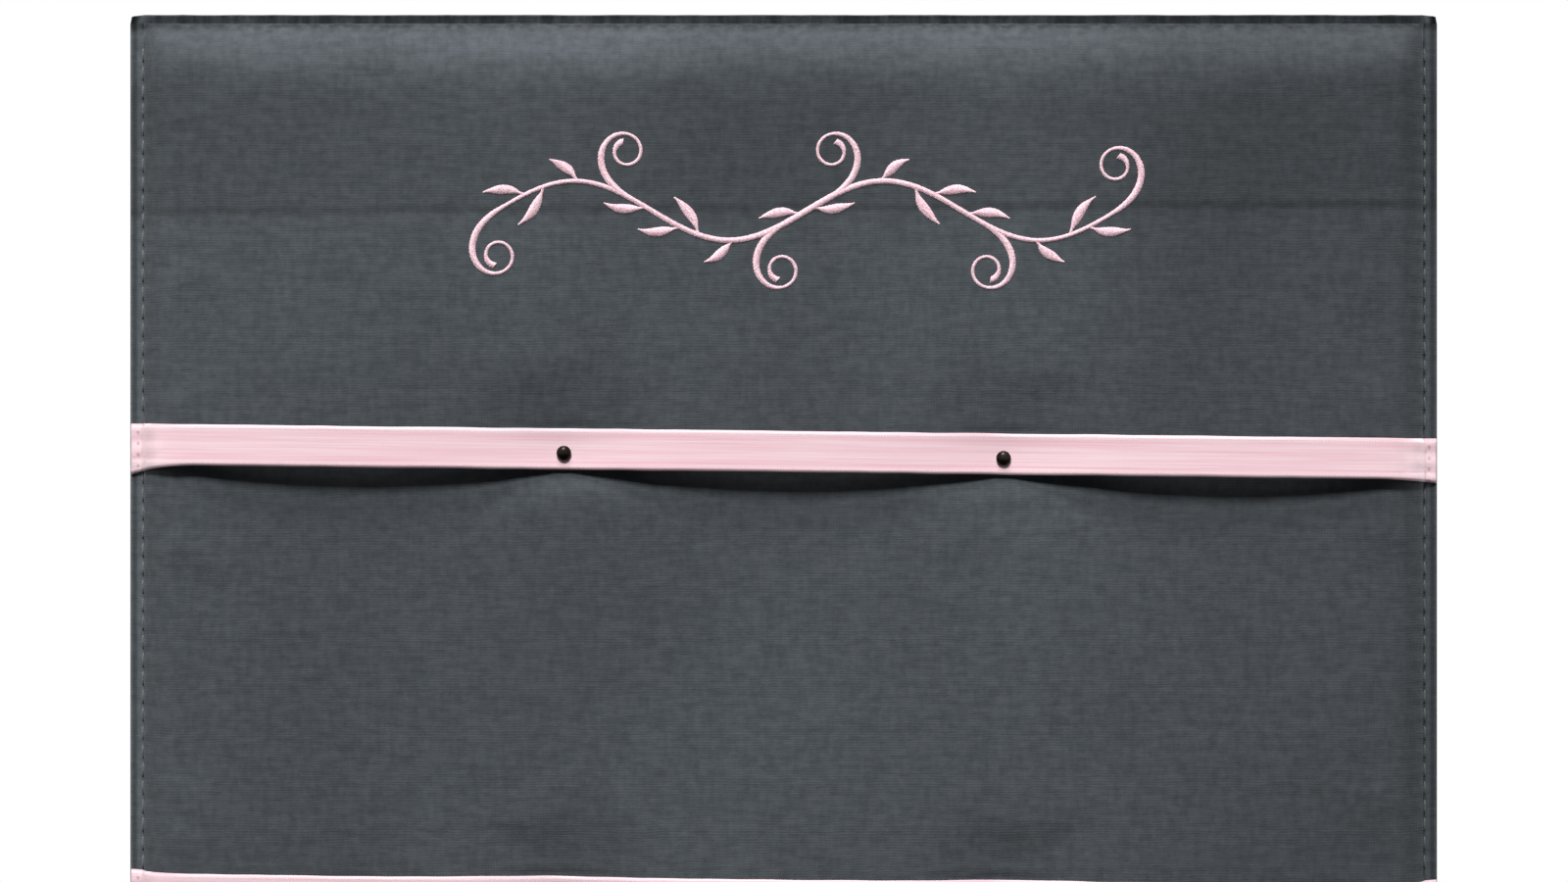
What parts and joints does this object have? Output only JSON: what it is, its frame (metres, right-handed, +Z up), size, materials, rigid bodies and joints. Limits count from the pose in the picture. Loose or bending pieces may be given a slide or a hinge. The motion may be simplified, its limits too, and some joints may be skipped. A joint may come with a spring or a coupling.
{
  "type": "french memo board",
  "caption": "Padded square board in a sewn cloth cover, with bowed ribbons pinned across it by small studs and hinged D-rings on the back for wall hooks.",
  "frame": {"origin": "centre of the flat back, on the plane of the wall that the board hangs on", "axes": "+Z up, +Y from the board into the wall, so the padded front faces -Y; +X to the right seen from the front"},
  "size_m": [0.4, 0.0266, 0.4],
  "materials": {
    "cover_cloth": "matte",
    "back_cloth": "matte",
    "wadding": "matte",
    "core_board": "matte",
    "ribbon": "satin",
    "stud_cap": "gloss",
    "stud_legs": "satin",
    "hanger_steel": "satin",
    "screw_steel": "satin",
    "ring_wire": "polished"
  },
  "bodies": {
    "board": {"core_panel": "core_board", "wadding": "wadding", "front_cover": "cover_cloth", "back_cover": "back_cloth", "ribbon_upper": "ribbon", "ribbon_lower": "ribbon", "stud_cap_upper_1": "stud_cap", "stud_cap_upper_2": "stud_cap", "stud_cap_lower_1": "stud_cap", "stud_cap_lower_2": "stud_cap", "stud_legs_upper_1": "stud_legs", "stud_legs_upper_2": "stud_legs", "stud_legs_lower_1": "stud_legs", "stud_legs_lower_2": "stud_legs", "hanger_strap_left": "hanger_steel", "hanger_strap_right": "hanger_steel", "hanger_screw_left": "screw_steel", "hanger_screw_right": "screw_steel"},
    "ring_left": {"hanger_ring_left": "ring_wire"},
    "ring_right": {"hanger_ring_right": "ring_wire"}
  },
  "joints": [
    {"name": "ring_left_swing", "type": "hinge", "parent": "board", "child": "ring_left", "pos_m": [-0.13, 0.00215, 0.156], "axis": [-1, 0, 0], "range_deg": [0, 178]},
    {"name": "ring_right_swing", "type": "hinge", "parent": "board", "child": "ring_right", "pos_m": [0.13, 0.00215, 0.156], "axis": [-1, 0, 0], "range_deg": [0, 178]}
  ]
}
